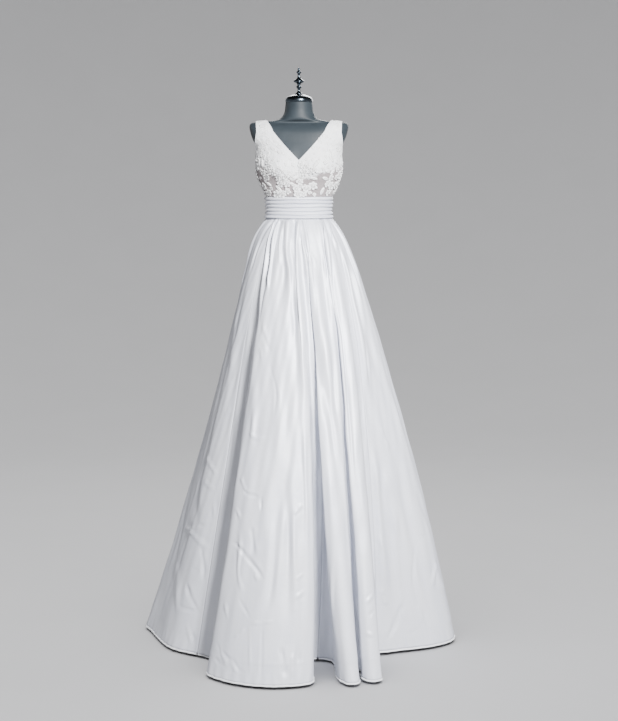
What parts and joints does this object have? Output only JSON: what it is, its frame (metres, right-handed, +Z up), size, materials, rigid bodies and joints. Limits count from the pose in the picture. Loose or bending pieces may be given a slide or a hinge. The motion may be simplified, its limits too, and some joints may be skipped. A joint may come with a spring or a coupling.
{
  "type": "wedding dress on dress form",
  "caption": "Sleeveless floor-length A-line bridal gown: floral lace V-neck bodice, tucked waistband and full folded satin skirt, worn by a limbless dress form on a round-base stand",
  "frame": {"origin": "middle of the stand base's flat underside, on the floor", "axes": "+Z up, the dress's front faces -Y, +X is the viewer's right as seen from the front"},
  "size_m": [1.0536, 1.0389, 1.893],
  "materials": {
    "satin": "white satin with a soft sheen",
    "lace": "white floral lace over tulle and satin",
    "form_shell": "dark blue-grey satin shell",
    "polished_metal": "dark polished metal",
    "stand_paint": "black paint"
  },
  "bodies": {
    "root": {"bodice_back_left": "lace", "bodice_back_right": "lace", "bodice_front_left": "lace", "bodice_front_right": "lace", "finial": "polished_metal", "form_torso": "form_shell", "hem_back_left": "satin", "hem_back_right": "satin", "hem_front": "satin", "hem_front_right": "satin", "hem_side_left": "satin", "hem_side_right": "satin", "neck_cap": "polished_metal", "skirt_back_left": "satin", "skirt_back_right": "satin", "skirt_front": "satin", "skirt_front_right": "satin", "skirt_side_left": "satin", "skirt_side_right": "satin", "stand_base": "stand_paint", "stand_flange": "stand_paint", "stand_pole": "stand_paint", "waistband_back_left": "satin", "waistband_back_right": "satin", "waistband_front": "satin"}
  },
  "joints": []
}
